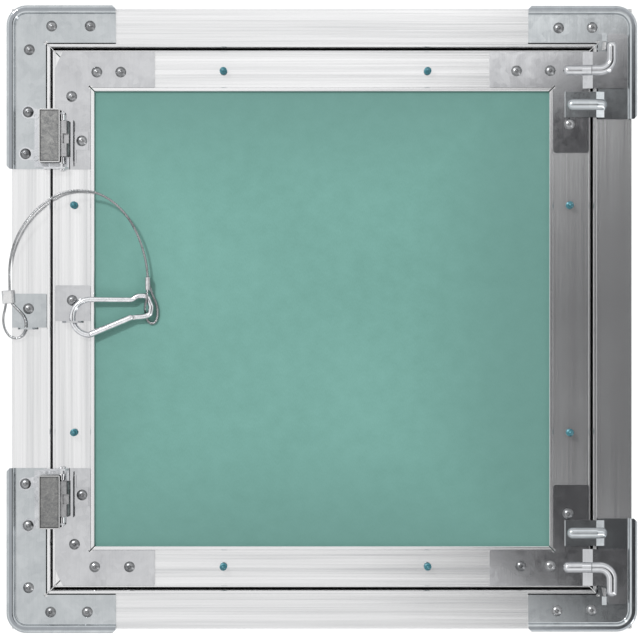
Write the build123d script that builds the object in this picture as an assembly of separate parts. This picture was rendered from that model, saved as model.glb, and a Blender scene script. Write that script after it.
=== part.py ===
from build123d import *
import math
import os

# Access panel for a plasterboard ceiling or wall, seen from behind: +Z points into
# the void behind the board, z = 0 is the bearing plane under the frame flange.
# Millimetres. The leaf hangs on the right (+X) and is latched on the left (-X).

# ---------------------------------------------------------------- driving sizes
FLANGE_OUT = 230.5      # half of the overall size over the frame flanges
FRAME_IN = 202.0        # half of the clear opening between the frame legs
LEAF_OUT = 199.6        # half of the leaf over its legs
LEAF_IN = 169.25        # half of the board window in the leaf flange
SHEET = 1.6             # wall of both aluminium profiles
DEPTH = 12.5            # board thickness, and length of the legs
LIP_Z = 3.0             # top of the profile lips and of the corner plates
EDGE_Z = 2.3            # top of the low lip round the outside of the leaf
PLATE_T = 1.4           # zinc-coated steel plates
BOARD_HALF = 197.9
TAB_Z = 3.4             # underside of everything that reaches over the gap
RIM_W = 6.2             # rounded rim of the frame corner plates
RIM_TOP = 5.9
GAP_LIP = 1.25          # small lip on the front end of the frame legs, narrows the seen gap
RIVET_D = 8.0           # head of the blind rivets
RIVET_SHANK = 4.0
SCREW_LEN = 25.0
WIRE_D = 1.8
HINGE = (200.8, 0.0, -12.5)
HOOK_D = 4.2            # rod of the snap hook
HOOK_TILT = 1.8         # the hook lies down towards the board
HOOK_PIVOT = (-185.05, -2.3, 7.0)

os.makedirs("parts", exist_ok=True)


# ---------------------------------------------------------------- helpers
def slab(x0, x1, y0, y1, z0, z1):
    return Pos((x0 + x1) / 2, (y0 + y1) / 2, (z0 + z1) / 2) * Box(
        abs(x1 - x0), abs(y1 - y0), abs(z1 - z0)
    )


def outline(points):
    return make_face(Polyline(*points, close=True))


def prism(points, z0, z1):
    return extrude(Pos(0, 0, z0) * outline(points), amount=z1 - z0)


def section_xz(points, y0, y1):
    """A section drawn in X and Z, pulled along Y."""
    face = make_face(Polyline(*[(x, y0, z) for x, z in points], close=True))
    return extrude(face, amount=y1 - y0, dir=(0, 1, 0))


def rod_z(x, y, z0, z1, r):
    return Pos(x, y, (z0 + z1) / 2) * Cylinder(r, z1 - z0)


def rod_y(x, z, y0, y1, r):
    return Pos(x, (y0 + y1) / 2, z) * Rot(90, 0, 0) * Cylinder(r, y1 - y0)


def round_2d(face, spots):
    """Rounds the outline corners nearest to the given spots."""
    for x, y, r in spots:
        corner = min(face.vertices(), key=lambda v: (v.X - x) ** 2 + (v.Y - y) ** 2)
        face = fillet(corner, r)
    return face


def flip(shape):
    """The same piece on the lower half of the panel."""
    return mirror(shape, about=Plane.XZ)


def solid_of(shape):
    found = shape.solids()
    return found[0] if len(found) == 1 else Compound(children=list(found))


def save(name, shape):
    export_step(solid_of(shape), "parts/" + name + ".step")


# ---------------------------------------------------------------- rivet places
# frame rivets: three at each left corner plate, two at each right one, one wire plate
frame_rivet_at = [
    (-200.9, 217.6), (-172.3, 217.6), (-217.5, 200.0),
    (-201.7, -218.0), (-174.4, -218.0), (-218.1, -199.9),
    (176.0, 216.2), (200.9, 216.5), (174.6, -217.1), (200.5, -216.7),
    (-218.1, 7.5),
]
latch_rivet_at = [(-218.2, 153.6), (-220.2, 122.6), (-218.2, -153.6), (-220.2, -122.6)]
leaf_rivet_at = [
    (-167.3, 183.4), (-149.5, 183.4), (-186.0, 165.3),
    (-183.9, -167.6), (-168.9, -184.4), (-143.1, -184.4),
    (144.7, 184.3), (169.7, 184.4), (184.0, 144.9),
    (147.8, -183.8), (169.7, -183.8), (183.0, -144.9),
    (-185.6, 13.7),
]
striker_rivet_at = [(-178.4, 132.2), (-178.2, -130.9)]
screw_at = [
    (-73.2, 184.2), (78.6, 184.2), (-73.2, -184.2), (78.6, -184.2),
    (-184.2, 84.5), (-184.2, -84.5), (184.2, 84.5), (184.2, -84.5),
]


def shank_holes(places, z0, z1, r=RIVET_SHANK / 2 + 0.05):
    return [rod_z(x, y, z0, z1, r) for x, y in places]


def rivet(x, y, z, tail):
    """Domed blind rivet: head on z, shank down to tail, mandrel end in the dimple."""
    r = RIVET_D / 2
    s = RIVET_SHANK / 2
    def at(radius, height):
        return (radius, 0, height)

    corners = [
        at(r, z + 0.45), at(r, z), at(s, z), at(s, tail), at(0, tail), at(0, z + 1.85),
        at(0.85, z + 1.75), at(0.95, z + 1.1), at(1.25, z + 1.1), at(1.35, z + 2.0),
    ]
    edges = [Edge.make_line(p, q) for p, q in zip(corners, corners[1:])]
    edges.append(Edge.make_three_point_arc(at(1.35, z + 2.0), at(2.9, z + 1.45), at(r, z + 0.45)))
    face = Face(Wire(edges))
    return Pos(x, y, 0) * revolve(face, axis=Axis.Z)


# ---------------------------------------------------------------- mitred profiles
def profile(section, side):
    """One mitred side of a square frame. section is in (distance from centre, z)."""
    bar = extrude(
        make_face(Polyline(*[(-260, r, z) for r, z in section], close=True)),
        amount=520, dir=(1, 0, 0),
    )
    wedge = prism([(0, 0.22), (-300, 300.22), (300, 300.22)], -40, 40)
    return Rot(0, 0, side) * (bar & wedge)


def frame_section(lip):
    """Frame profile: leg with a small lip at its front end, flange, upright lip at the gap."""
    return [
        (FRAME_IN - lip, -DEPTH), (FRAME_IN + SHEET, -DEPTH), (FRAME_IN + SHEET, 0),
        (FLANGE_OUT - 0.3, 0), (FLANGE_OUT, 0.3), (FLANGE_OUT, SHEET - 0.3), (FLANGE_OUT - 0.3, SHEET),
        (FRAME_IN + 2.5, SHEET), (FRAME_IN + 2.5, LIP_Z - 0.35), (FRAME_IN + 2.15, LIP_Z),
        (FRAME_IN + 0.35, LIP_Z), (FRAME_IN, LIP_Z - 0.35),
        (FRAME_IN, -DEPTH + 1.0), (FRAME_IN - lip, -DEPTH + 1.0),
    ]


def leaf_section(out):
    """Leaf profile: leg, flange, lip at the board window, low lip outside."""
    return [
        (out, -DEPTH), (LEAF_OUT - SHEET, -DEPTH), (LEAF_OUT - SHEET, 0),
        (LEAF_IN, 0), (LEAF_IN, LIP_Z - 0.35), (LEAF_IN + 0.35, LIP_Z),
        (LEAF_IN + 2.4, LIP_Z), (LEAF_IN + 2.75, LIP_Z - 0.35), (LEAF_IN + 2.75, SHEET),
        (LEAF_OUT - 1.15, SHEET), (LEAF_OUT - 1.15, EDGE_Z - 0.2), (LEAF_OUT - 0.95, EDGE_Z),
        (out - 0.25, EDGE_Z), (out, EDGE_Z - 0.25),
    ]


sides = {"top": 0, "left": 90, "bottom": 180, "right": 270}
all_frame_rivets = frame_rivet_at + latch_rivet_at
all_leaf_rivets = leaf_rivet_at + striker_rivet_at

for name, angle in sides.items():
    bar = profile(frame_section(0.75 if name == "left" else GAP_LIP), angle)
    bar -= shank_holes(all_frame_rivets, -1, 2)
    save("frame_profile_" + name, bar)

    bar = profile(leaf_section(LEAF_OUT + (0.6 if name == "left" else 0)), angle)
    bar -= shank_holes(all_leaf_rivets, -0.5, 2)
    bar -= [rod_z(x, y, -1, 3, 2.1) for x, y in screw_at]
    save("leaf_profile_" + name, bar)


# ---------------------------------------------------------------- frame corner plates
def corner_outline(xo, yo, xe, ye, xi, yi, radius, chamfer):
    """L outline. o outer corner, e free ends, i inner edges; sx, sy point inwards."""
    sx = 1 if xe > xo else -1
    sy = 1 if ye > yo else -1
    c = chamfer
    face = outline([
        (xo, yo), (xe - sx * c, yo), (xe, yo + sy * c), (xe, yi), (xi, yi),
        (xi, ye), (xo + sx * c, ye), (xo, ye - sy * c),
    ])
    return round_2d(face, [(xo, yo, radius)])


def rimmed_plate(xo, yo, xe, ye, xi, yi, radius):
    sx = 1 if xe > xo else -1
    sy = 1 if ye > yo else -1
    sheet = corner_outline(xo, yo, xe, ye, xi, yi, radius, 2.6)
    body = extrude(Pos(0, 0, SHEET) * sheet, amount=PLATE_T)
    hollow = outline([
        (xo + sx * RIM_W, yo + sy * RIM_W), (xe + sx * 30, yo + sy * RIM_W),
        (xe + sx * 30, ye + sy * 30), (xo + sx * RIM_W, ye + sy * 30),
    ])
    hollow = round_2d(hollow, [(xo + sx * RIM_W, yo + sy * RIM_W, radius - RIM_W)])
    rim_face = sheet - hollow
    rim = extrude(Pos(0, 0, SHEET + 0.4) * rim_face, amount=RIM_TOP - SHEET - 0.4)
    body = body + rim
    try:
        crest = [
            e for e in body.edges()
            if abs(e.center().Z - RIM_TOP) < 1e-3 and e.length > 6
        ]
        body = fillet(crest, 2.0)
        foot = [
            e for e in body.edges()
            if abs(e.center().Z - LIP_Z) < 1e-3 and e.length > 6
            and abs(e.bounding_box().size.Z) < 1e-4
            and on_rim_foot(e, xo, yo, sx, sy, radius)
        ]
        body = fillet(foot, 0.8)
    except Exception as problem:
        print("rim rounding:", problem)
    body -= rod_z(xi, yi, 0, 8, 1.5)
    return body


def on_rim_foot(edge, xo, yo, sx, sy, radius):
    p = edge.position_at(0.5)
    dx = abs(p.X - xo)
    dy = abs(p.Y - yo)
    if dx < radius and dy < radius:
        d = radius - math.hypot(radius - dx, radius - dy)
    else:
        d = min(dx, dy)
    return abs(d - RIM_W) < 0.15


def bead_line(path, ends, z_top, width, height):
    """A half-round stiffening bead along a path at z = 0, standing on z_top."""
    r = (width * width / 4 + height * height) / (2 * height)
    zc = z_top + height - r
    tube = sweep(Plane(path @ 0, z_dir=path % 0) * Circle(r), path=path)
    blob = Pos(0, 0, zc) * tube
    for e in ends:
        blob = blob + Pos(e[0], e[1], zc) * Sphere(r)
    return blob & slab(-400, 400, -400, 400, z_top - 0.5, z_top + 10)


def bead_down_step(y, width, height, *rest):
    """A half-round bead along X with round ends whose foot drops over one step in the sheet.
    rest: (x, z) of the sheet at the bead's start, at the step and at its end, then the space kept."""
    *feet, keep = rest
    r = (width * width / 4 + height * height) / (2 * height)
    spots = [Vector(x, y, z + height - r) for x, z in feet]
    blob = Pos(*spots[0]) * Sphere(r)
    for a, b in zip(spots, spots[1:]):
        blob = blob + sweep(Plane(a, z_dir=b - a) * Circle(r), path=Line(a, b)) + Pos(*b) * Sphere(r)
    return blob & section_xz(keep, y - 12, y + 12)


def bead_up_step(y, width, height, *rest):
    """A half-round bead along X, round at its start, that climbs a step to the level bead behind it.
    rest: (x, z) of the sheet at the bead's start and at each bend, then the space kept."""
    *feet, keep = rest
    r = (width * width / 4 + height * height) / (2 * height)
    room = section_xz(keep, y - 12, y + 12)
    spots = [Vector(x, y, z + height - r) for x, z in feet]
    pieces = [(Pos(*spots[0]) * Sphere(r)) & room]
    for i, (a, b) in enumerate(zip(spots, spots[1:])):
        # inner ends run on a little so that neighbours meet across the bend
        way = (b - a).normalized()
        start = a - way * (0.6 if i > 0 else 0)
        end = b + way * (0.6 if i < len(spots) - 2 else 0)
        rod = Solid.make_cylinder(r, (end - start).length, Plane(start, z_dir=way))
        pieces.append(rod & room)
    bead = pieces[0]
    for piece in pieces[1:]:
        bead = bead + piece
    return bead


PLATE_X = 234.4
PLATE_Y = 233.0
IN = FRAME_IN + 3.2      # the plates stop short of the profile lip

tl = rimmed_plate(-PLATE_X, PLATE_Y, -153.2, 111.3, -IN, IN, 15.0)
tl -= shank_holes(all_frame_rivets, 0, 4)
save("frame_corner_plate_tl", tl)

bl = rimmed_plate(-PLATE_X, -PLATE_Y - 0.6, -153.2, -110.9, -IN, -IN, 15.0)
bl -= shank_holes(all_frame_rivets, 0, 4)
save("frame_corner_plate_bl", bl)


def frame_plate_right():
    body = rimmed_plate(PLATE_X, PLATE_Y - 0.4, 153.4, 148.4, IN, IN, 16.0)
    # stop tab: joggled up, then level over the leaf edge
    tab = section_xz([
        (211.2, SHEET), (211.2, SHEET + PLATE_T), (209.9, SHEET + PLATE_T),
        (203.9, TAB_Z + PLATE_T), (181.0, TAB_Z + PLATE_T), (180.4, TAB_Z + PLATE_T - 0.5),
        (180.4, TAB_Z), (203.3, TAB_Z), (209.2, SHEET),
    ], 149.7, 168.7)
    body = body + tab
    body = body + bead_down_step(
        159.2, 8.0, 2.2, (186.2, TAB_Z + PLATE_T), (203.9, TAB_Z + PLATE_T), (207.6, LIP_Z + 0.7),
        [(180, 4.3), (203.6, 4.3), (209.6, 2.5), (214, 2.5), (214, 12), (180, 12)],
    )
    # window in the corner with a bent-up edge and a low lug beside the hinge tab
    body -= prism([(208.0, 199.6), (210.9, 200.6), (211.6, 203.4), (210.9, 206.0), (209.0, 206.0)], 0, 4)
    lug = section_xz([(208.2, 2.8), (208.2, LIP_Z + 0.02), (211.6, 3.7), (211.6, 2.8)], 206.4, 212.8)
    body = body + lug
    # curled edge in the inner corner
    curl = Pos(206.2, 202.3, 0) * (rod_z(0, 0, LIP_Z, 3.6, 3.0) - rod_z(0, 0, 2.8, 3.7, 1.9))
    curl -= slab(206.4, 212, 195, 210, 2, 5)
    body = body + curl
    return body


def hinge_plate():
    """Leaf corner plate with the joggled hinge tab that lies over the frame."""
    face = outline([
        (198.4, 198.4), (124.6, 198.4), (124.6, 172.05), (172.05, 172.05),
        (172.05, 123.4), (198.4, 123.4),
    ])
    face = round_2d(face, [
        (124.6, 198.4, 1.2), (124.6, 172.05, 1.2), (172.05, 123.4, 1.5), (198.4, 123.4, 1.5),
    ])
    body = extrude(Pos(0, 0, SHEET) * face, amount=PLATE_T)
    body -= rod_z(172.05, 172.05, 0, 8, 1.5)
    joggle = section_xz([
        (192.5, SHEET), (192.5, SHEET + PLATE_T), (193.9, SHEET + PLATE_T),
        (201.2, TAB_Z + PLATE_T), (203.5, TAB_Z + PLATE_T), (203.5, TAB_Z),
        (201.6, TAB_Z), (194.6, SHEET),
    ], 171.2, 198.4)
    tab = outline([
        (202.5, 171.2), (226.9, 171.2), (226.9, 211.9), (212.6, 211.9),
        (212.6, 198.4), (202.5, 198.4),
    ])
    tab = round_2d(tab, [
        (226.9, 171.2, 1.5), (226.9, 211.9, 3.0), (212.6, 211.9, 2.0), (212.6, 198.4, 2.6),
    ])
    body = body + joggle + extrude(Pos(0, 0, TAB_Z) * tab, amount=PLATE_T)
    # L-shaped bead that stiffens the tab
    z_tab = TAB_Z + PLATE_T
    bend = 8.8
    y0, x1 = 184.8, 215.4
    path = Curve() + [
        Line((200.6, y0, 0), (x1 - bend, y0, 0)),
        ThreePointArc(
            (x1 - bend, y0, 0),
            (x1 - bend + bend * math.sin(math.pi / 4), y0 + bend * (1 - math.cos(math.pi / 4)), 0),
            (x1, y0 + bend, 0),
        ),
        Line((x1, y0 + bend, 0), (x1, 202.6, 0)),
    ]
    path = Wire(path.edges())
    body = body + bead_line(path, [(x1, 202.6)], z_tab, 7.8, 2.2)
    # the bead starts on the flat of the plate and climbs over the joggle
    start = bead_up_step(
        y0, 7.8, 2.2, (183.3, LIP_Z), (193.9, LIP_Z), (201.2, z_tab),
        [(170, 2.4), (194.0, 2.4), (201.3, 4.2), (204, 4.2), (204, 12), (170, 12)],
    )
    return body + start


right = frame_plate_right()
right_tr = right - shank_holes(all_frame_rivets, 0, 4)
save("frame_corner_plate_tr", right_tr)
right_br = flip(right) - shank_holes(all_frame_rivets, 0, 4)
save("frame_corner_plate_br", right_br)

hinge = hinge_plate()
save("leaf_corner_plate_tr", hinge - shank_holes(all_leaf_rivets, 0, 4))
save("leaf_corner_plate_br", flip(hinge) - shank_holes(all_leaf_rivets, 0, 4))


def leaf_plate_left(sy, rivets):
    face = outline([
        (-192.6, 198.4 * sy), (-124.2, 198.4 * sy), (-124.2, 172.05 * sy),
        (-172.05, 172.05 * sy), (-172.05, 111.0 * sy), (-198.4, 111.0 * sy),
        (-198.4, 186.0 * sy), (-196.4, 190.8 * sy),
    ])
    face = round_2d(face, [
        (-124.2, 198.4 * sy, 1.2), (-124.2, 172.05 * sy, 1.2),
        (-172.05, 111.0 * sy, 1.2), (-198.4, 111.0 * sy, 1.2),
    ])
    body = extrude(Pos(0, 0, SHEET) * face, amount=PLATE_T)
    body -= rod_z(-172.05, 172.05 * sy, 0, 8, 1.5)
    return body - shank_holes(rivets, 0, 4)


save("leaf_corner_plate_tl", leaf_plate_left(1, all_leaf_rivets))
save("leaf_corner_plate_bl", leaf_plate_left(-1, all_leaf_rivets))


# ---------------------------------------------------------------- wire plates
def wire_plate(x0, x1, y0, y1, lug, hole, hole_r, top, rivets):
    """Small riveted plate, its lower edge bent up into a lug with a hole along Y."""
    face = round_2d(outline([(x0, y0), (x1, y0), (x1, y1), (x0, y1)]),
                    [(x0, y1, 1.0), (x1, y1, 1.0)])
    body = extrude(Pos(0, 0, SHEET) * face, amount=PLATE_T)
    wall = section_xz([
        (lug[0], SHEET), (lug[1], SHEET), (lug[1], top - 4), (lug[1] - 3.2, top),
        (lug[0] + 3.2, top), (lug[0], top - 4),
    ], y0 - PLATE_T, y0)
    heel = section_xz([
        (lug[0], LIP_Z - 0.2), (lug[1], LIP_Z - 0.2), (lug[1], LIP_Z + 0.5), (lug[0], LIP_Z + 0.5),
    ], y0 - 0.1, y0 + 0.5)
    body = body + wall + heel
    body -= rod_y(hole[0], hole[1], y0 - 4, y0 + 4, hole_r)
    return body - shank_holes(rivets, 0, 4)


save("frame_wire_plate", wire_plate(
    -230.4, -204.7, -6.5, 18.7, (-225.6, -211.4), (-219.4, 7.0), 2.6, 11.4, all_frame_rivets))
save("leaf_wire_plate", wire_plate(
    -198.4, -172.1, -1.6, 24.9, (-192.6, -177.6), (-185.05, 7.0), 3.7, 12.6, all_leaf_rivets))


# ---------------------------------------------------------------- rivets
def group(shapes):
    return Compound(children=[s.solids()[0] for s in shapes])


save("frame_rivets", group([rivet(x, y, LIP_Z, 0.0) for x, y in frame_rivet_at]))
save("leaf_rivets", group([rivet(x, y, LIP_Z, 0.0) for x, y in leaf_rivet_at]))
save("latch_rivets", group([rivet(x, y, 4.2, 0.0) for x, y in latch_rivet_at]))
save("striker_rivets", group([rivet(x, y, 4.4, 0.0) for x, y in striker_rivet_at]))


# ---------------------------------------------------------------- board and its screws
def board_screw(x, y, grow=0.0):
    """Bugle-head screw driven from the front; its point stands up behind the flange."""
    g = grow
    core = 1.9 + g
    line = Polyline(
        (0, -DEPTH - g), (4.0 + g, -DEPTH - g), (4.0 + g, -DEPTH + 0.5), (core + 0.25, -DEPTH + 4.2),
        (core, -DEPTH + 4.6), (core, SCREW_LEN - DEPTH - 4.0), (core * 0.86, SCREW_LEN - DEPTH - 1.6),
        (core * 0.5, SCREW_LEN - DEPTH - 0.35), (0, SCREW_LEN - DEPTH), close=True,
    )
    return Pos(x, y, 0) * revolve(make_face(Plane.XZ * line), axis=Axis.Z)


def threads(x, y):
    """Raised thread crests on the free end of the screw."""
    rings = []
    z = 3.1
    while z < SCREW_LEN - DEPTH - 2.6:
        crest = 2.7 if z < SCREW_LEN - DEPTH - 4.0 else 2.7 - (z - SCREW_LEN + DEPTH + 4.0) * 0.22
        root = crest - 1.3
        ring = Polyline((root, z - 0.55), (crest, z), (root, z + 0.55), (0, z + 0.55), (0, z - 0.55), close=True)
        rings.append(Pos(x, y, 0) * revolve(make_face(Plane.XZ * ring), axis=Axis.Z))
        z += 1.45
    return rings


def full_screw(x, y):
    body = board_screw(x, y)
    for ring in threads(x, y):
        body = body + ring
    recess = Pos(x, y, -DEPTH + 0.8) * (Box(3.4, 0.9, 1.7) + Box(0.9, 3.4, 1.7))
    return body - recess


board = slab(-BOARD_HALF, BOARD_HALF, -BOARD_HALF, BOARD_HALF, -DEPTH, 0)
board -= [board_screw(x, y, 0.04) for x, y in screw_at]
save("leaf_board", board)
save("board_screws", group([full_screw(x, y) for x, y in screw_at]))


# ---------------------------------------------------------------- latches and strikers
PIN_X, PIN_Z = -192.9, 8.0


def latch_bracket():
    base = section_xz([
        (-213.5, 3.0), (-202.5, 3.0), (-201.5, TAB_Z), (-187.6, TAB_Z), (-187.6, 4.6),
        (-202.0, 4.6), (-203.0, 4.2), (-213.5, 4.2),
    ], 112.6, 155.6)
    base -= prism([(-187.0, 146.0), (-190.4, 149.0), (-195.4, 154.0), (-195.4, 157.0), (-180.0, 157.0), (-180.0, 146.0)], 2, 6)
    near = section_xz([
        (-206.3, 3.6), (-188.2, 3.6), (-188.2, 9.4), (-190.2, 11.6), (-206.3, 11.6),
    ], 111.2, 112.6)
    near += section_xz([(-206.3, 3.0), (-202.6, 3.0), (-202.6, 4.0), (-206.3, 4.0)], 111.2, 112.6)
    web = prism([(-196.6, 151.6), (-190.6, 151.6), (-190.6, 153.0), (-196.6, 153.0)], 4.4, 10.6)
    tail = prism([(-188.9, 111.2), (-187.6, 111.2), (-187.6, 119.8), (-188.9, 119.8)], 4.4, 7.6)
    body = base + near + web + tail
    for x, y in latch_rivet_at[:2]:
        body = body + rod_z(x, y, 3.0, 4.2, 5.0)
        body = body + prism([(x, y - 4.2), (-211.0, y - 5.5), (-211.0, y + 2.0), (x, y + 4.2)], 3.0, 4.2)
        body = body + (rod_z(-212.6, y - 3.0, 4.0, 5.0, 2.2) - rod_z(-212.6, y - 3.0, 3.9, 5.1, 1.2))
    body -= rod_y(PIN_X, PIN_Z, 105, 160, 1.35)
    body -= shank_holes(latch_rivet_at, 0, 6)
    return body


def latch_cover():
    """Mottled zinc box over the spring and the tail of the tongue, open below and to the right."""
    x0, x1, y0, y1 = -209.6, -194.0, 116.0, 155.6
    box = slab(x0, x1, y0, y1, 4.2, 13.6)
    vertical = [e for e in box.edges().filter_by(Axis.Z)]
    box = fillet(vertical, 1.0)
    box = box - slab(x0 + 1.2, -188.0, y0 + 1.2, y1 - 1.2, 4.0, 12.4)
    # raised rim round the top
    rim = slab(x0, x1, y0, y1, 13.4, 14.5)
    rim = fillet([e for e in rim.edges().filter_by(Axis.Z)], 1.0)
    box = box + (rim - slab(x0 + 0.8, x1 - 0.8, y0 + 0.8, y1 - 0.8, 13.0, 15.0))
    # clearance over the part of the base that is stepped up
    box = box - slab(-203.2, -188.0, 115.0, 156.0, 4.0, 4.65)
    # the end walls are cut back round the pin and its rollers
    return box - slab(-196.1, -188.0, 115.0, 156.6, 4.0, 11.2)


def latch_tongue():
    """Swinging tongue on the pin: nose towards the striker, tail over the spring."""
    body = section_xz([
        (-187.3, 6.4), (-187.3, 8.6), (-189.2, 11.6), (-195.0, 11.6), (-196.4, 10.2),
        (-205.6, 10.2), (-205.6, 8.9), (-196.6, 8.9), (-194.9, 5.4), (-188.6, 5.4),
    ], 120.4, 146.6)
    body -= slab(-192.0, -186.0, 130.0, 137.4, 9.2, 13.0)
    body -= rod_y(PIN_X, PIN_Z, 100, 170, 1.55)
    return body


def latch_pin():
    pin = rod_y(PIN_X, PIN_Z, 110.2, 154.2, 1.25)
    return pin + rod_y(PIN_X, PIN_Z, 110.0, 111.1, 2.3)


def latch_rollers():
    a = rod_y(PIN_X, PIN_Z, 115.0, 119.6, 2.7) - rod_y(PIN_X, PIN_Z, 110, 125, 1.35)
    b = rod_y(PIN_X, PIN_Z, 147.2, 151.4, 2.7) - rod_y(PIN_X, PIN_Z, 140, 155, 1.35)
    return a, b


def latch_spring():
    """Return spring under the tail of the tongue."""
    turns, r = 3.0, 2.6
    path = Helix(pitch=3.4 / turns, height=3.4, radius=r)
    wire = sweep(Plane(path @ 0, z_dir=path % 0) * Circle(0.35), path=path)
    return Pos(-202.0, 133.5, 4.62) * Pos(0, 0, 0.38) * wire


def striker(x, y):
    """Upstanding striker on the leaf, with the window that the tongue snaps into."""
    body = slab(-185.7, -184.3, 113.5, 147.2, LIP_Z, 12.6)
    body -= slab(-187, -183, 121.0, 146.0, 6.0, 9.6)
    body = body - prism([(-188, 110), (-188, 117), (-180, 117), (-180, 110)], 9.0, 15)
    foot = slab(-184.4, -173.2, 125.4, 139.0, LIP_Z, 4.4)
    foot = foot + slab(-184.4, -182.6, 116.0, 125.4, LIP_Z, 4.4)
    body = body + foot
    return body - rod_z(x, y, 0, 6, RIVET_SHANK / 2 + 0.05)


parts_of_latch = {
    "bracket": latch_bracket(), "cover": latch_cover(), "tongue": latch_tongue(),
    "pin": latch_pin(), "spring": latch_spring(),
}
rollers = latch_rollers()
for place, turn in (("upper", lambda s: s), ("lower", flip)):
    for name, shape in parts_of_latch.items():
        save("latch_" + place + "_" + name, turn(shape))
    save("latch_" + place + "_rollers", group([turn(r) for r in rollers]))
save("striker_upper", striker(*striker_rivet_at[0]))
save("striker_lower", flip(striker(striker_rivet_at[1][0], -striker_rivet_at[1][1])))


# ---------------------------------------------------------------- snap hook
def tilted(shape):
    """Leans the hook about the line along Y through its pivot."""
    x, y, z = HOOK_PIVOT
    return Pos(x, y, z) * Rot(0, HOOK_TILT, 0) * Pos(-x, -y, -z) * shape


HZ = HOOK_PIVOT[2]
GATE_HINGE = (-142.0, 0.9)
NOSE = (-172.9, -12.05)
gate_len = math.hypot(NOSE[0] - GATE_HINGE[0], NOSE[1] - GATE_HINGE[1])
gate_turn = math.degrees(math.atan2(NOSE[1] - GATE_HINGE[1], NOSE[0] - GATE_HINGE[0]))


def hook_body():
    ring_c, ring_r = (-172.3, 1.15), 13.2
    ring = Wire([
        ThreePointArc((-172.3, -12.05, HZ), (ring_c[0] - ring_r, ring_c[1], HZ), (-172.3, 14.35, HZ)).edge()
    ])
    rest = FilletPolyline(
        (-172.3, 14.35, HZ), (-141.0, 14.1, HZ), (-137.2, 16.9, HZ), (-129.9, 17.2, HZ),
        (-126.6, 9.0, HZ), (-127.6, 2.7, HZ), (-133.4, 1.5, HZ), (-138.7, 1.2, HZ),
        radius=[4.5, 4.5, 4.0, 5.0, 3.4, 6.0],
    )
    r = HOOK_D / 2
    a = sweep(Plane((-172.3, -12.05, HZ), z_dir=(-1, 0, 0)) * Circle(r), path=ring)
    b = sweep(Plane((-172.3, 14.35, HZ), z_dir=Vector(31.3, -0.25, 0)) * Circle(r), path=rest.wire() if hasattr(rest, "wire") else rest)
    body = a + b
    # flattened ends: hinge lug and nose
    hx, hy = GATE_HINGE
    body = body + rod_z(hx, hy, HZ - 0.75, HZ + 0.75, 2.0) + slab(hx, -138.6, hy - 1.6, hy + 1.7, HZ - 0.75, HZ + 0.75)
    nose = Pos(hx, hy, HZ) * Rot(0, 0, gate_turn) * slab(gate_len - 4.2, gate_len + 1.4, -1.1, 1.1, -0.75, 0.75)
    body = body + nose
    cut = Pos(hx, hy, HZ) * Rot(0, 0, gate_turn) * (
        slab(gate_len - 8, gate_len - 0.4, -3.4, 3.4, -3, 3) - slab(gate_len - 8, gate_len, -3.6, 3.6, -0.75, 0.75)
    )
    body -= cut
    body -= rod_z(hx, hy, HZ - 4, HZ + 4, 0.85)
    return body


def hook_gate():
    hx, hy = GATE_HINGE
    tube = Pos((gate_len - 1.0) / 2, 0, 0) * Rot(0, 90, 0) * Cylinder(2.45, gate_len - 1.0)
    tube = tube + Sphere(2.45)
    tube -= slab(-4, 4.6, -4, 4, -1.05, 1.05)
    tube -= slab(gate_len - 4.9, gate_len + 2, -4, 4, -1.05, 1.05)
    tube -= Pos(gate_len / 2 + 2, 0, 0) * Rot(0, 90, 0) * Cylinder(1.2, gate_len - 12.0)
    tube -= Cylinder(0.85, 12)
    return Pos(hx, hy, HZ) * Rot(0, 0, gate_turn) * tube


def gate_pin():
    hx, hy = GATE_HINGE
    return rod_z(hx, hy, HZ - 2.75, HZ + 2.75, 0.8)


def gate_spring():
    hx, hy = GATE_HINGE
    path = Helix(pitch=1.3, height=13.0, radius=0.8)
    wire = sweep(Plane(path @ 0, z_dir=path % 0) * Circle(0.18), path=path)
    return Pos(hx, hy, HZ) * Rot(0, 0, gate_turn) * Pos(9.5, 0, 0) * Rot(0, 90, 0) * wire


save("snap_hook_body", tilted(hook_body()))
save("snap_hook_gate", tilted(hook_gate()))
save("snap_hook_gate_pin", tilted(gate_pin()))
save("snap_hook_gate_spring", tilted(gate_spring()))


# ---------------------------------------------------------------- safety wire
# route of the wire: an eye through the frame lug, an arc over the gap, an eye
# through the snap hook. The two ends lie beside the standing part in the ferrules.
frame_route = [
    (-234.3, 15.5, 5.5), (-234.7, 9.0, 5.5), (-237.0, 1.2, 5.3), (-235.9, -8.2, 5.1),
    (-230.2, -15.0, 5.5), (-222.6, -13.6, 6.3), (-219.5, -7.0, 7.0), (-220.3, 1.0, 6.9),
    (-226.0, 7.0, 6.2), (-231.7, 12.5, 5.6), (-231.9, 24.0, 5.9), (-232.0, 40.0, 9.0),
    (-227.9, 57.0, 12.8), (-218.4, 73.6, 15.3), (-204.8, 86.5, 16.0), (-190.0, 94.6, 15.6),
    (-180.4, 94.8, 15.0),
]
leaf_route = [
    (-180.4, 94.8, 15.0), (-170.8, 95.0, 14.4), (-156.4, 88.6, 12.8), (-143.6, 76.0, 11.0),
    (-135.0, 59.6, 9.4), (-130.3, 42.4, 7.8), (-129.3, 31.4, 6.6),
]
eye_route = [
    (-129.3, 29.5, 6.3), (-129.3, 20.6, 8.6), (-130.0, 14.2, 9.1), (-131.7, 8.4, 5.8),
    (-131.3, 3.2, 0.9), (-128.9, -3.4, 1.3), (-124.3, -3.6, 1.6), (-121.9, 2.4, 2.2),
    (-122.8, 11.2, 2.9), (-127.0, 19.6, 3.7), (-129.0, 29.5, 3.9),
]


def turn_radii(points, share=0.45):
    radii = []
    for a, b, c in zip(points, points[1:], points[2:]):
        u = Vector(*b) - Vector(*a)
        v = Vector(*c) - Vector(*b)
        turn = math.radians(u.get_angle(v))
        radii.append(share * min(u.length, v.length) / math.tan(turn / 2))
    return radii


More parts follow.
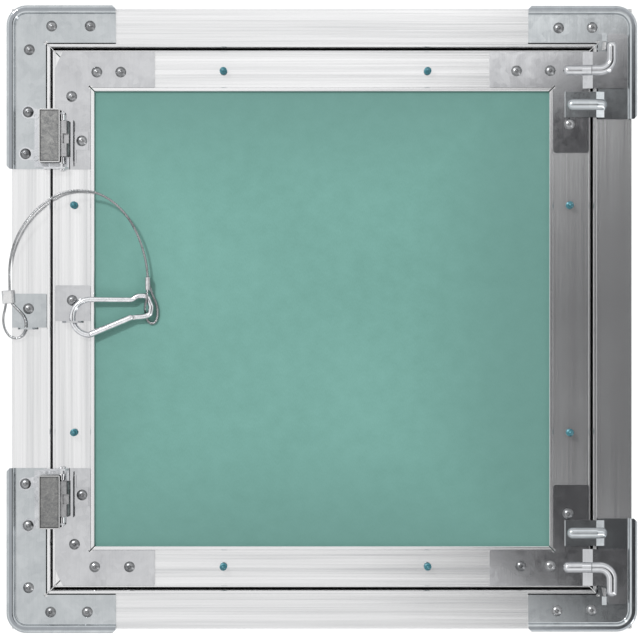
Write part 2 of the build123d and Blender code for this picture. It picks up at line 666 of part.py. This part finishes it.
def tube_along(points, d, label, gap_start=0.0, gap_end=0.0):
    points = [Vector(*p) for p in points]
    if gap_start:
        points[0] = points[0] + (points[1] - points[0]).normalized() * gap_start
    if gap_end:
        points[-1] = points[-1] + (points[-2] - points[-1]).normalized() * gap_end
    radii = turn_radii([tuple(p) for p in points])
    line = FilletPolyline(*points, radius=radii)
    path = line.wire() if hasattr(line, "wire") else Wire(line.edges())
    start = Plane(points[0], z_dir=points[1] - points[0])
    body = sweep(start * Circle(d / 2), path=path)
    length = path.length
    print(label, "length", round(length, 1), "radii", [round(r, 1) for r in radii],
          "volume ratio", round(body.volume / (math.pi * d * d / 4 * length), 4))
    return body


wire_frame = tube_along(frame_route, WIRE_D, "frame half", gap_end=0.2)
wire_leaf = tube_along(leaf_route, WIRE_D, "leaf half", gap_start=0.2)
wire_eye = tube_along(eye_route, WIRE_D, "hook eye")
save("safety_wire_frame_half", wire_frame)
save("safety_wire_leaf_half", wire_leaf)
save("safety_wire_hook_eye", wire_eye)


def ferrule(width, length, thick):
    """Pressed oval sleeve, flattened, with rounded sides."""
    body = Box(width, length, thick)
    body = fillet(body.edges().filter_by(Axis.Y), thick * 0.42)
    return chamfer([e for e in body.edges() if abs(abs(e.center().Y) - length / 2) < 1e-3], 0.35)


ferrule_frame = Pos(-233.0, 16.2, 5.55) * Rot(0, 0, 4) * ferrule(9.2, 9.8, 4.2)
save("safety_wire_ferrule_frame", ferrule_frame - wire_frame)
ferrule_hook = Pos(-129.2, 26.0, 5.1) * Rot(0, 90, 0) * ferrule(9.0, 9.8, 3.8)
save("safety_wire_ferrule_hook", ferrule_hook - wire_eye)

print("parts:", len(os.listdir("parts")))
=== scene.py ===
import math
import bmesh
import bpy
from mathutils import Vector, Matrix, Quaternion


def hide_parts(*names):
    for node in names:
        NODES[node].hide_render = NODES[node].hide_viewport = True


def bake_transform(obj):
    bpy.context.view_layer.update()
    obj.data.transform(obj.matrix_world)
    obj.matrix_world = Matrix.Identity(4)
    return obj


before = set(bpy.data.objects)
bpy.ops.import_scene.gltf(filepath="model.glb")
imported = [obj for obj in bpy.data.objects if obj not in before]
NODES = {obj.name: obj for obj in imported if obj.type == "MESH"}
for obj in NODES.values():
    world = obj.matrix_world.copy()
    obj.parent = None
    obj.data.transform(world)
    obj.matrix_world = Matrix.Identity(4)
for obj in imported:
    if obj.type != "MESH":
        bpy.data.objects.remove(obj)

SCENE = bpy.context.scene
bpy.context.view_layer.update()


# ---------------------------------------------------------------- node helpers
class Shade:
    """A small builder for one procedural material."""

    def __init__(self, name):
        self.mat = bpy.data.materials.new(name)
        self.mat.use_nodes = True
        self.tree = self.mat.node_tree
        self.tree.nodes.clear()
        self.out = self.tree.nodes.new("ShaderNodeOutputMaterial")
        self.bsdf = self.tree.nodes.new("ShaderNodeBsdfPrincipled")
        self.tree.links.new(self.bsdf.outputs[0], self.out.inputs[0])
        self.coord = self.tree.nodes.new("ShaderNodeTexCoord").outputs["Object"]

    def node(self, kind, ins=None, **props):
        n = self.tree.nodes.new("ShaderNode" + kind)
        for k, v in props.items():
            setattr(n, k, v)
        for k, v in (ins or {}).items():
            self.put(n.inputs[k], v)
        return n

    def put(self, socket, v):
        if isinstance(v, bpy.types.NodeSocket):
            self.tree.links.new(v, socket)
        else:
            socket.default_value = v

    def set(self, **ins):
        names = {
            "color": "Base Color", "metallic": "Metallic", "roughness": "Roughness",
            "normal": "Normal", "specular": "Specular IOR Level", "coat": "Coat Weight",
            "coat_rough": "Coat Roughness", "aniso": "Anisotropic", "tangent": "Tangent",
            "sheen": "Sheen Weight",
        }
        for k, v in ins.items():
            self.put(self.bsdf.inputs[names[k]], v)
        return self

    def scaled(self, scale, rotation=(0, 0, 0), shift=(0, 0, 0)):
        m = self.node("Mapping", {"Vector": self.coord})
        m.inputs["Scale"].default_value = scale
        m.inputs["Rotation"].default_value = rotation
        m.inputs["Location"].default_value = shift
        return m.outputs[0]

    def noise(self, vector, scale=1.0, detail=4.0, rough=0.55, distortion=0.0):
        n = self.node("TexNoise", {"Vector": vector, "Scale": scale, "Detail": detail,
                                   "Roughness": rough, "Distortion": distortion})
        return n.outputs["Fac"]

    def voronoi(self, vector, scale=1.0, feature="F1", out="Distance", randomness=1.0):
        n = self.node("TexVoronoi", {"Vector": vector, "Scale": scale,
                                     "Randomness": randomness}, feature=feature)
        return n.outputs[out]

    def math(self, op, a, b=None, c=None, clamp=False):
        n = self.node("Math", operation=op, use_clamp=clamp)
        for i, v in enumerate((a, b, c)):
            if v is not None:
                self.put(n.inputs[i], v)
        return n.outputs[0]

    def span(self, v, lo, hi, to_lo=0.0, to_hi=1.0, smooth=False):
        n = self.node("MapRange", {"Value": v, "From Min": lo, "From Max": hi,
                                   "To Min": to_lo, "To Max": to_hi})
        n.interpolation_type = "SMOOTHSTEP" if smooth else "LINEAR"
        return n.outputs[0]

    def ramp(self, v, stops, mode="LINEAR"):
        n = self.node("ValToRGB", {"Fac": v})
        n.color_ramp.interpolation = mode
        e = n.color_ramp.elements
        while len(e) < len(stops):
            e.new(0.5)
        for el, (at, c) in zip(e, stops):
            el.position = at
            el.color = (*c, 1) if len(c) == 3 else c
        return n.outputs["Color"]

    def mix(self, fac, a, b, mode="MIX"):
        n = self.node("Mix", data_type="RGBA", blend_type=mode)
        self.put(n.inputs[0], fac)
        self.put(n.inputs[6], a if isinstance(a, bpy.types.NodeSocket) else (*a, 1))
        self.put(n.inputs[7], b if isinstance(b, bpy.types.NodeSocket) else (*b, 1))
        return n.outputs[2]

    def xyz(self):
        n = self.node("SeparateXYZ", {"Vector": self.coord})
        return n.outputs[0], n.outputs[1], n.outputs[2]

    def bump(self, height, strength=0.3, distance=0.0001, normal=None):
        n = self.node("Bump", {"Strength": strength, "Distance": distance, "Height": height})
        if normal is not None:
            self.put(n.inputs["Normal"], normal)
        return n.outputs[0]


def give(material, *names):
    for name in names:
        o = NODES[name]
        o.data.materials.clear()
        o.data.materials.append(material)


# ------------------------------------------------------------------- materials
def aluminium(name, along, seed):
    """Extruded profile: die lines along its length, brightness and gloss changing from line to line."""
    s = Shade(name)
    across = (900.0, 5.0, 900.0) if along == "y" else (5.0, 900.0, 900.0)
    wide = (110.0, 1.6, 60.0) if along == "y" else (1.6, 110.0, 60.0)
    fine = s.noise(s.scaled(across, shift=(seed, seed, 0)), 1.0, 3.0, 0.6)
    broad = s.noise(s.scaled(wide, shift=(seed, 2 * seed, 0)), 1.0, 3.0, 0.65)
    cloud = s.noise(s.scaled((14, 14, 14), shift=(seed, 0, 0)), 1.0, 2.0)
    tone = s.math("ADD", s.math("MULTIPLY", fine, 0.35), s.math("MULTIPLY", broad, 0.65))
    color = s.ramp(tone, [(0.34, (0.57, 0.575, 0.583)), (0.48, (0.70, 0.702, 0.707)), (0.62, (0.79, 0.79, 0.795))])
    x, y, z = s.xyz()
    # the faces of the narrow gap between leaf and frame are dull and dusty and painted dark grey as shade, the small
    # lip at its end is painted black as shade
    r = s.math("MAXIMUM", s.math("ABSOLUTE", x), s.math("ABSOLUTE", y))
    inside = s.math("MULTIPLY", s.span(r, 0.1990, 0.1996), s.span(r, 0.2031, 0.2024))
    dusty_shaded_gap = s.math("MULTIPLY", inside, s.span(z, 0.0022, 0.0004))
    black_shade_and_joint = s.math("MULTIPLY", inside, s.span(z, -0.0108, -0.0112))
    # a dark hairline where two mitred profiles meet, and painted black shade in the groove beside the corner plates
    off = s.math("ABSOLUTE", s.math("SUBTRACT", s.math("ABSOLUTE", x), s.math("ABSOLUTE", y)))
    black_shade_and_joint = s.math("MAXIMUM", black_shade_and_joint, s.span(off, 0.00072, 0.00046))
    low = s.math("MINIMUM", s.math("ABSOLUTE", x), s.math("ABSOLUTE", y))
    groove_shade = s.math("MULTIPLY", s.span(r, 0.20445, 0.20460), s.span(r, 0.20535, 0.20520))
    beside = s.math("GREATER_THAN", s.math("ABSOLUTE", y), s.math("ABSOLUTE", x))
    reach = s.span(x, -0.001, 0.001, 0.1112, 0.1484)
    reach = s.math("ADD", s.math("MULTIPLY", beside, 0.1533), s.math("MULTIPLY", s.math("SUBTRACT", 1.0, beside), reach))
    groove_shade = s.math("MULTIPLY", s.math("MULTIPLY", groove_shade, s.span(z, 0.0024, 0.0020)), s.math("GREATER_THAN", low, reach))
    black_shade_and_joint = s.math("MAXIMUM", black_shade_and_joint, groove_shade)
    # dusty dull finish on the gap faces, with their colour painted dark grey as shade
    gap_dust_and_shade = s.ramp(s.math("ADD", s.math("MULTIPLY", fine, 0.4), s.math("MULTIPLY", cloud, 0.6)), [(0.35, (0.17, 0.17, 0.172)), (0.65, (0.27, 0.27, 0.272))])
    color = s.mix(dusty_shaded_gap, color, gap_dust_and_shade)
    # painted black shade on the gap lip and in the groove beside the plates, together with the dark mitre hairlines
    color = s.mix(black_shade_and_joint, color, (0.004, 0.004, 0.004))
    rough = s.math("ADD", s.span(tone, 0.3, 0.7, 0.13, 0.06), s.math("MULTIPLY", cloud, 0.04))
    height = s.math("ADD", fine, s.math("MULTIPLY", broad, 0.7))
    rough = s.math("MAXIMUM", rough, s.math("MULTIPLY", dusty_shaded_gap, 0.55))
    metal = s.math("MULTIPLY", s.span(black_shade_and_joint, 0.0, 1.0, 0.90, 0.0), s.span(dusty_shaded_gap, 0.0, 1.0, 1.0, 0.5))
    s.set(color=color, metallic=metal, roughness=s.math("MAXIMUM", rough, black_shade_and_joint), specular=0.0,
          normal=s.bump(height, 0.20, 0.00006))
    return s.mat


def zinc(name, dark, light, seed, rough=(0.045, 0.10), spangle=220.0, bump=0.03, rim=False):
    """Galvanised sheet: cloudy, faintly crystalline, with fine handling marks."""
    s = Shade(name)
    v = s.scaled((1, 1, 1), shift=(seed, seed, seed))
    cloud = s.noise(v, 38.0, 5.0, 0.6, 0.6)
    cells = s.voronoi(v, spangle, out="Color")
    grey = s.node("RGBToBW", {"Color": cells}).outputs[0]
    marks = s.noise(s.scaled((1400, 60, 200), (0, 0, 0.6 + seed)), 1.0, 4.0, 0.7)
    tone = s.math("ADD", s.math("ADD", s.math("MULTIPLY", cloud, 0.62), s.math("MULTIPLY", grey, 0.14)),
                  s.math("MULTIPLY", marks, 0.24))
    color = s.ramp(tone, [(0.34, dark), (0.62, light)])
    if rim:
        # the crest of the raised rim is painted darker as shade
        x, y, z = s.xyz()
        R = 0.0150
        qx = s.math("SUBTRACT", s.math("ABSOLUTE", x), 0.2344 - R)
        qy = s.math("SUBTRACT", s.math("ABSOLUTE", y), 0.2330 - R)
        cx, cy = s.math("MAXIMUM", qx, 0.0), s.math("MAXIMUM", qy, 0.0)
        far = s.math("SQRT", s.math("ADD", s.math("MULTIPLY", cx, cx), s.math("MULTIPLY", cy, cy)))
        inset = s.math("SUBTRACT", R, s.math("ADD", far, s.math("MINIMUM", s.math("MAXIMUM", qx, qy), 0.0)))
        painted_crest_shade = s.math("MULTIPLY", s.span(inset, 0.0014, 0.0022), s.span(inset, 0.0048, 0.0040))
        painted_crest_shade = s.math("MULTIPLY", painted_crest_shade, s.span(z, 0.0046, 0.0054))
        shade = s.math("ADD", s.math("MULTIPLY", marks, 0.3), 0.30)
        color = s.mix(s.math("MULTIPLY", painted_crest_shade, 0.75), color, s.mix(shade, (0.20, 0.22, 0.245), (0.34, 0.36, 0.385)))
    s.set(color=color, metallic=0.95, roughness=s.span(tone, 0.35, 0.65, rough[1], rough[0]), specular=0.3,
          normal=s.bump(s.math("ADD", cloud, s.math("MULTIPLY", marks, 0.3)), bump, 0.0002))
    return s.mat


def cast_cover(name):
    """Dull mottled zinc cover: blotches a few millimetres across over a fine grain."""
    s = Shade(name)
    v = s.scaled((1, 1, 1))
    blot = s.noise(v, 210.0, 6.0, 0.72, 1.2)
    grain = s.noise(v, 1500.0, 3.0, 0.6)
    tone = s.math("ADD", s.math("MULTIPLY", blot, 0.6), s.math("MULTIPLY", grain, 0.4))
    color = s.ramp(tone, [(0.36, (0.095, 0.097, 0.10)), (0.5, (0.15, 0.15, 0.148)), (0.64, (0.23, 0.23, 0.222))])
    # the raised rim is rubbed bright, the corner inside it is painted near-black as shade
    x, y, z = s.xyz()
    du = s.math("ABSOLUTE", s.math("ADD", x, 0.2018))
    dv = s.math("ABSOLUTE", s.math("SUBTRACT", s.math("ABSOLUTE", y), 0.1358))
    into = s.math("MAXIMUM", s.math("SUBTRACT", du, 0.0070), s.math("SUBTRACT", dv, 0.0190))
    high = s.span(z, 0.0139, 0.0143)
    inner_corner_shade = s.math("MULTIPLY", s.span(into, -0.0008, -0.0002), s.math("SUBTRACT", 1.0, high))
    inner_corner_shade = s.math("MULTIPLY", inner_corner_shade, s.span(z, 0.0128, 0.0133))
    color = s.mix(inner_corner_shade, color, (0.010, 0.010, 0.011))
    color = s.mix(high, color, (0.36, 0.36, 0.36))
    s.set(color=color, metallic=0.7, roughness=s.span(tone, 0.4, 0.6, 0.58, 0.42), specular=0.3,
          normal=s.bump(tone, 0.2, 0.0002))
    return s.mat


def steel(name, dark, light, scale=600.0, rough=(0.10, 0.22), bump=0.15, metallic=1.0, stretch=(1, 1, 1)):
    """Small turned, drawn or pressed steel parts."""
    s = Shade(name)
    v = s.scaled(stretch)
    a = s.noise(v, scale, 4.0, 0.6, 0.4)
    b = s.noise(v, scale * 0.12, 3.0, 0.5)
    tone = s.math("ADD", s.math("MULTIPLY", a, 0.5), s.math("MULTIPLY", b, 0.5))
    s.set(color=s.ramp(tone, [(0.38, dark), (0.6, light)]), metallic=metallic,
          roughness=s.span(tone, 0.38, 0.62, rough[1], rough[0]),
          normal=s.bump(a, bump, 0.00008))
    return s.mat


def board_paper(name):
    """Green paper face: fibres, faint mottling from the core, a few scuffs."""
    s = Shade(name)
    v = s.scaled((1, 1, 1))
    wide = s.noise(v, 7.0, 4.0, 0.55, 0.3)
    mid = s.noise(v, 85.0, 5.0, 0.6)
    fibre = s.noise(s.scaled((1900, 520, 900), (0, 0, 0.35)), 1.0, 4.0, 0.7)
    fleck = s.noise(v, 900.0, 2.0, 0.5)
    tone = s.math("ADD", s.math("ADD", s.math("MULTIPLY", wide, 0.34), s.math("MULTIPLY", mid, 0.26)),
                  s.math("MULTIPLY", fibre, 0.40))
    color = s.ramp(tone, [(0.36, (0.100, 0.219, 0.188)), (0.5, (0.117, 0.250, 0.218)), (0.64, (0.134, 0.278, 0.245))])
    spots = s.span(fleck, 0.72, 0.80)
    color = s.mix(s.math("MULTIPLY", spots, 0.35), color, (0.19, 0.31, 0.28))
    # the paper is painted a little darker towards the profiles, as the shadow of the profile lips
    x, y, z = s.xyz()
    out = s.math("MAXIMUM", s.math("ABSOLUTE", s.math("ADD", x, 0.030)), s.math("ABSOLUTE", y))
    out = s.math("ADD", out, s.math("MULTIPLY", wide, 0.05))
    color = s.mix(s.span(out, 0.100, 0.215, 0.0, 0.55, smooth=True), color, (0.078, 0.160, 0.142))
    s.set(color=color, metallic=0.0, roughness=0.86, specular=0.25,
          normal=s.bump(s.math("ADD", fibre, s.math("MULTIPLY", mid, 0.5)), 0.25, 0.00012))
    return s.mat


def screw_blue(name):
    s = Shade(name)
    v = s.scaled((1, 1, 1))
    a = s.noise(v, 700.0, 4.0, 0.6)
    s.set(color=s.ramp(a, [(0.35, (0.010, 0.080, 0.105)), (0.62, (0.030, 0.165, 0.200))]), metallic=0.2,
          roughness=s.span(a, 0.35, 0.65, 0.46, 0.30), normal=s.bump(a, 0.25, 0.0001))
    return s.mat


ALU_X1 = aluminium("profile_top_metal", "x", 1.3)
ALU_X2 = aluminium("profile_bottom_metal", "x", 4.1)
ALU_Y1 = aluminium("profile_left_metal", "y", 2.2)
ALU_Y2 = aluminium("profile_right_metal", "y", 7.9)
for ring in ("frame", "leaf"):
    give(ALU_X1, f"{ring}_profile_top")
    give(ALU_X2, f"{ring}_profile_bottom")
    give(ALU_Y1, f"{ring}_profile_left")
    give(ALU_Y2, f"{ring}_profile_right")
FRAME_ZINC = zinc("frame_plate_zinc", (0.42, 0.445, 0.46), (0.53, 0.555, 0.57), 0.0, rim=True)
LEAF_ZINC = zinc("leaf_plate_zinc", (0.47, 0.475, 0.49), (0.58, 0.585, 0.60), 3.7)
for c in ("tl", "tr", "bl", "br"):
    give(FRAME_ZINC, f"frame_corner_plate_{c}")
    give(LEAF_ZINC, f"leaf_corner_plate_{c}")
give(FRAME_ZINC, "frame_wire_plate")
give(LEAF_ZINC, "leaf_wire_plate")
RIVET = steel("rivet_metal", (0.12, 0.123, 0.128), (0.30, 0.303, 0.308), 420.0, (0.22, 0.38))
give(RIVET, "frame_rivets", "leaf_rivets", "latch_rivets", "striker_rivets")
give(board_paper("board_green_paper"), "leaf_board")
give(screw_blue("screw_coating"), "board_screws")
give(cast_cover("latch_cover_metal"), "latch_upper_cover", "latch_lower_cover")
BRACKET = zinc("bracket_metal", (0.38, 0.39, 0.41), (0.66, 0.67, 0.69), 8.1, (0.16, 0.30), 420.0)
give(BRACKET, "latch_upper_bracket", "latch_lower_bracket")
TONGUE = steel("tongue_metal", (0.16, 0.16, 0.165), (0.34, 0.34, 0.345), 350.0, (0.30, 0.45))
give(TONGUE, "latch_upper_tongue", "latch_lower_tongue")
BRIGHT = steel("bright_steel_metal", (0.62, 0.62, 0.63), (0.92, 0.92, 0.93), 500.0, (0.07, 0.16), 0.08)
give(BRIGHT, "latch_upper_rollers", "latch_lower_rollers", "latch_upper_pin", "latch_lower_pin")
give(LEAF_ZINC, "striker_upper", "striker_lower")
SPRING = steel("spring_metal", (0.24, 0.24, 0.25), (0.55, 0.55, 0.57), 800.0, (0.14, 0.28))
give(SPRING, "latch_upper_spring", "latch_lower_spring", "snap_hook_gate_spring")
HOOK = steel("hook_metal", (0.50, 0.51, 0.53), (0.80, 0.80, 0.81), 260.0, (0.08, 0.20), 0.14)
give(HOOK, "snap_hook_body", "snap_hook_gate", "snap_hook_gate_pin")
FERRULE = steel("ferrule_metal", (0.34, 0.34, 0.35), (0.66, 0.66, 0.66), 330.0, (0.24, 0.42), 0.3)
give(FERRULE, "safety_wire_ferrule_frame", "safety_wire_ferrule_hook")
WIRE = steel("wire_metal", (0.15, 0.153, 0.158), (0.36, 0.364, 0.37), 900.0, (0.24, 0.38), 0.2)


# ------------------------------------------------------------ the safety wire
# control points of the wire's route, from the loop on the frame to the snap hook
FRAME_ROUTE = [(-0.2343, 0.0155, 0.0055), (-0.2347, 0.0090, 0.0055), (-0.2370, 0.0012, 0.0053), (-0.2359, -0.0082, 0.0051),
               (-0.2302, -0.0150, 0.0055), (-0.2226, -0.0136, 0.0063), (-0.2195, -0.0070, 0.0070), (-0.2203, 0.0010, 0.0069),
               (-0.2260, 0.0070, 0.0062), (-0.2317, 0.0125, 0.0056), (-0.2319, 0.0240, 0.0059), (-0.2320, 0.0400, 0.0090),
               (-0.2279, 0.0570, 0.0128), (-0.2184, 0.0736, 0.0153), (-0.2048, 0.0865, 0.0160), (-0.1900, 0.0946, 0.0156),
               (-0.1804, 0.0948, 0.0150)]
LEAF_ROUTE = [(-0.1804, 0.0948, 0.0150), (-0.1708, 0.0950, 0.0144), (-0.1564, 0.0886, 0.0128), (-0.1436, 0.0760, 0.0110),
              (-0.1350, 0.0596, 0.0094), (-0.1303, 0.0424, 0.0078), (-0.1293, 0.0314, 0.0066), (-0.1293, 0.0295, 0.0063),
              (-0.1293, 0.0206, 0.0086), (-0.1300, 0.0142, 0.0091), (-0.1317, 0.0084, 0.0058), (-0.1313, 0.0032, 0.0009),
              (-0.1289, -0.0034, 0.0013), (-0.1243, -0.0036, 0.0016), (-0.1219, 0.0024, 0.0022), (-0.1228, 0.0112, 0.0029),
              (-0.1270, 0.0196, 0.0037), (-0.1290, 0.0295, 0.0039)]
WIRE_D = 0.0018


def spline_line(name, points):
    curve = bpy.data.curves.new(name + "_line", "CURVE")
    curve.dimensions = "3D"
    curve.resolution_u = 10
    sp = curve.splines.new("NURBS")
    sp.points.add(len(points) - 1)
    for p, c in zip(sp.points, points):
        p.co = (*c, 1)
    sp.order_u = 3
    sp.use_endpoint_u = True
    holder = bpy.data.objects.new(name + "_line", curve)
    mesh = bpy.data.meshes.new_from_object(holder)
    line = [v.co.copy() for v in mesh.vertices]
    bpy.data.meshes.remove(mesh)
    bpy.data.objects.remove(holder)
    bpy.data.curves.remove(curve)
    return line


def even(line, step):
    """The same line with points at an even step, on its own segments."""
    along = [0.0]
    for a, b in zip(line, line[1:]):
        along.append(along[-1] + (b - a).length)
    n = max(2, round(along[-1] / step))
    out, i = [], 0
    for k in range(n + 1):
        t = along[-1] * k / n
        while i < len(line) - 2 and along[i + 1] < t:
            i += 1
        seg = along[i + 1] - along[i]
        out.append(line[i].lerp(line[i + 1], 0 if seg == 0 else min(1, (t - along[i]) / seg)))
    return out, along[-1]


def rope(name, line, from_start, lay=0.0125):
    """Six strands laid round a core, along the line. The twist is counted from the end that meets the other half."""
    pts, long = even(line, 0.0007)
    order = pts if from_start else pts[::-1]
    tangents = []
    for i, p in enumerate(order):
        a, b = order[max(0, i - 1)], order[min(len(order) - 1, i + 1)]
        tangents.append((b - a).normalized())
    normal = Vector((0, 0, 1)) - tangents[0] * tangents[0].z
    normal.normalize()
    frames = []
    for i, t in enumerate(tangents):
        if i:
            q = tangents[i - 1].rotation_difference(t)
            normal = q @ normal
            normal = (normal - t * normal.dot(t)).normalized()
        frames.append((t, normal.copy(), t.cross(normal)))
    sign = 1 if from_start else -1
    bm = bmesh.new()
    strand_r = WIRE_D / 6.0
    ring_r = WIRE_D / 2 - strand_r
    step = long / (len(order) - 1)
    sides = 30
    outline = []
    for j in range(sides):
        a = 2 * math.pi * j / sides
        off = (a + math.pi / 6) % (math.pi / 3) - math.pi / 6
        outline.append((a, ring_r * math.cos(off) + math.sqrt(max(0.0, strand_r ** 2 - (ring_r * math.sin(off)) ** 2))))
    rings = []
    for i, p in enumerate(order):
        t, n, b = frames[i]
        b = b * sign
        twist = sign * 2 * math.pi * i * step / lay
        rings.append([bm.verts.new(p + (n * math.cos(a + twist) + b * math.sin(a + twist)) * r) for a, r in outline])
    for ra, rb in zip(rings, rings[1:]):
        for j in range(sides):
            bm.faces.new((ra[j], ra[(j + 1) % sides], rb[(j + 1) % sides], rb[j]))
    for ring in (rings[0], rings[-1]):
        bm.faces.new(ring)
    bmesh.ops.recalc_face_normals(bm, faces=bm.faces)
    mesh = bpy.data.meshes.new(name)
    bm.to_mesh(mesh)
    bm.free()
    for f in mesh.polygons:
        f.use_smooth = True
    mesh.materials.append(WIRE)
    o = bpy.data.objects.new(name, mesh)
    SCENE.collection.objects.link(o)
    return o, long


frame_line = spline_line("wire_frame_side", FRAME_ROUTE)
leaf_line = spline_line("wire_leaf_side", LEAF_ROUTE)
wire_a, long_a = rope("wire_frame_side", frame_line, False)
wire_b, long_b = rope("wire_leaf_side", leaf_line, True)
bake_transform(wire_a)
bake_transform(wire_b)
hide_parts("safety_wire_frame_half")
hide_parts("safety_wire_leaf_half", "safety_wire_hook_eye")


# --------------------------------------------------------------- floor, lights
def floor():
    s = Shade("floor_paint")
    a = s.noise(s.scaled((1, 1, 1)), 3.0, 3.0)
    s.set(color=s.ramp(a, [(0.3, (0.86, 0.86, 0.86)), (0.7, (0.90, 0.90, 0.90))]), roughness=0.9, specular=0.1)
    back = s.node("NewGeometry").outputs["Backfacing"]
    clear = s.node("BsdfTransparent")
    blend = s.node("MixShader")
    s.put(blend.inputs[0], back)
    s.tree.links.new(s.bsdf.outputs[0], blend.inputs[1])
    s.tree.links.new(clear.outputs[0], blend.inputs[2])
    s.tree.links.new(blend.outputs[0], s.out.inputs[0])
    mesh = bpy.data.meshes.new("floor")
    r, z = 14.0, -1.6
    mesh.from_pydata([(-r, -r, z), (r, -r, z), (r, r, z), (-r, r, z)], [], [(0, 1, 2, 3)])
    mesh.materials.append(s.mat)
    o = bpy.data.objects.new("floor", mesh)
    SCENE.collection.objects.link(o)


def area(name, at, aim, size, watts, color=(1, 1, 1)):
    d = bpy.data.lights.new(name, "AREA")
    d.shape = "RECTANGLE"
    d.size, d.size_y = size
    d.energy = watts
    d.color = color
    o = bpy.data.objects.new(name, d)
    o.location = at
    o.rotation_mode = "QUATERNION"
    o.rotation_quaternion = (Vector(aim) - Vector(at)).to_track_quat("-Z", "Y")
    SCENE.collection.objects.link(o)
    return o


floor()
area("light_key", (-0.85, 0.95, 1.75), (0.0, 0.0, 0.0), (0.20, 0.20), 30.0)
area("light_strip", (1.55, -1.2, 0.95), (0.0, 0.0, 0.0), (0.35, 1.4), 5.0)

world = bpy.data.worlds.new("studio")
SCENE.world = world
world.use_nodes = True
wt = world.node_tree
wt.nodes.clear()


def wnode(kind, ins=(), **props):
    n = wt.nodes.new("ShaderNode" + kind)
    for k, v in props.items():
        setattr(n, k, v)
    for i, v in enumerate(ins):
        if isinstance(v, bpy.types.NodeSocket):
            wt.links.new(v, n.inputs[i])
        elif v is not None:
            n.inputs[i].default_value = v
    return n


def wmath(op, a, b=None):
    return wnode("Math", (a, b), operation=op).outputs[0]


# a soft ceiling over pale walls, a brighter ring where they meet, and one dark opening above the right side
w_dir = wnode("SeparateXYZ", (wnode("TexCoord").outputs["Generated"],))
dx, dy, dz = w_dir.outputs[0], w_dir.outputs[1], w_dir.outputs[2]
up = wmath("MAXIMUM", dz, 0.05)
across = wmath("DIVIDE", wmath("SUBTRACT", wmath("DIVIDE", dx, up), 0.42), 0.40)
along = wmath("DIVIDE", wmath("ADD", wmath("DIVIDE", dy, up), 0.008), 0.1686)
reach = wmath("SQRT", wmath("ADD", wmath("MULTIPLY", across, across), wmath("MULTIPLY", along, along)))
opening = wnode("MapRange", (reach, 0.975, 1.028, 0.0, 1.0))
opening.interpolation_type = "SMOOTHSTEP"
# the ceiling is brightest just behind the upper edge of the opening
near = wnode("MapRange", (reach, 1.06, 1.42, 1.0, 0.0))
upper = wnode("MapRange", (along, 0.10, 0.45, 0.0, 0.24))
glow = wmath("ADD", wmath("MULTIPLY", near.outputs[0], upper.outputs[0]), 1.0)
w_ramp = wnode("ValToRGB", (dz,))
cr = w_ramp.color_ramp
cr.elements[0].position, cr.elements[0].color = 0.0, (0.52, 0.525, 0.53, 1)
cr.elements[1].position, cr.elements[1].color = 1.0, (0.63, 0.63, 0.63, 1)
for at, c in ((0.15, 0.50), (0.58, 0.54), (0.65, 1.00), (0.74, 1.00), (0.81, 0.65)):
    e = cr.elements.new(at)
    e.color = (c, c * 1.01, c * 1.02, 1)
w_mix = wnode("Mix", (), data_type="RGBA")
wt.links.new(opening.outputs[0], w_mix.inputs[0])
w_mix.inputs[6].default_value = (0.018, 0.018, 0.020, 1)
wt.links.new(w_ramp.outputs[0], w_mix.inputs[7])
w_bg = wnode("Background", (w_mix.outputs[2], wmath("MULTIPLY", glow, 1.6)))
w_out = wnode("OutputWorld", (w_bg.outputs[0],))

# --------------------------------------------------------------------- camera
cam = bpy.data.objects.new("camera", bpy.data.cameras.new("camera"))
SCENE.collection.objects.link(cam)
cam.data.type = "PERSP"
cam.data.sensor_width = 36.0
cam.data.lens = 177.2
cam.location = (-0.0014, -0.0009, 2.345)
cam.rotation_mode = "XYZ"
cam.rotation_euler = (0, 0, 0)
cam.data.clip_start, cam.data.clip_end = 0.01, 60.0
SCENE.camera = cam
SCENE.view_settings.view_transform = "Standard"
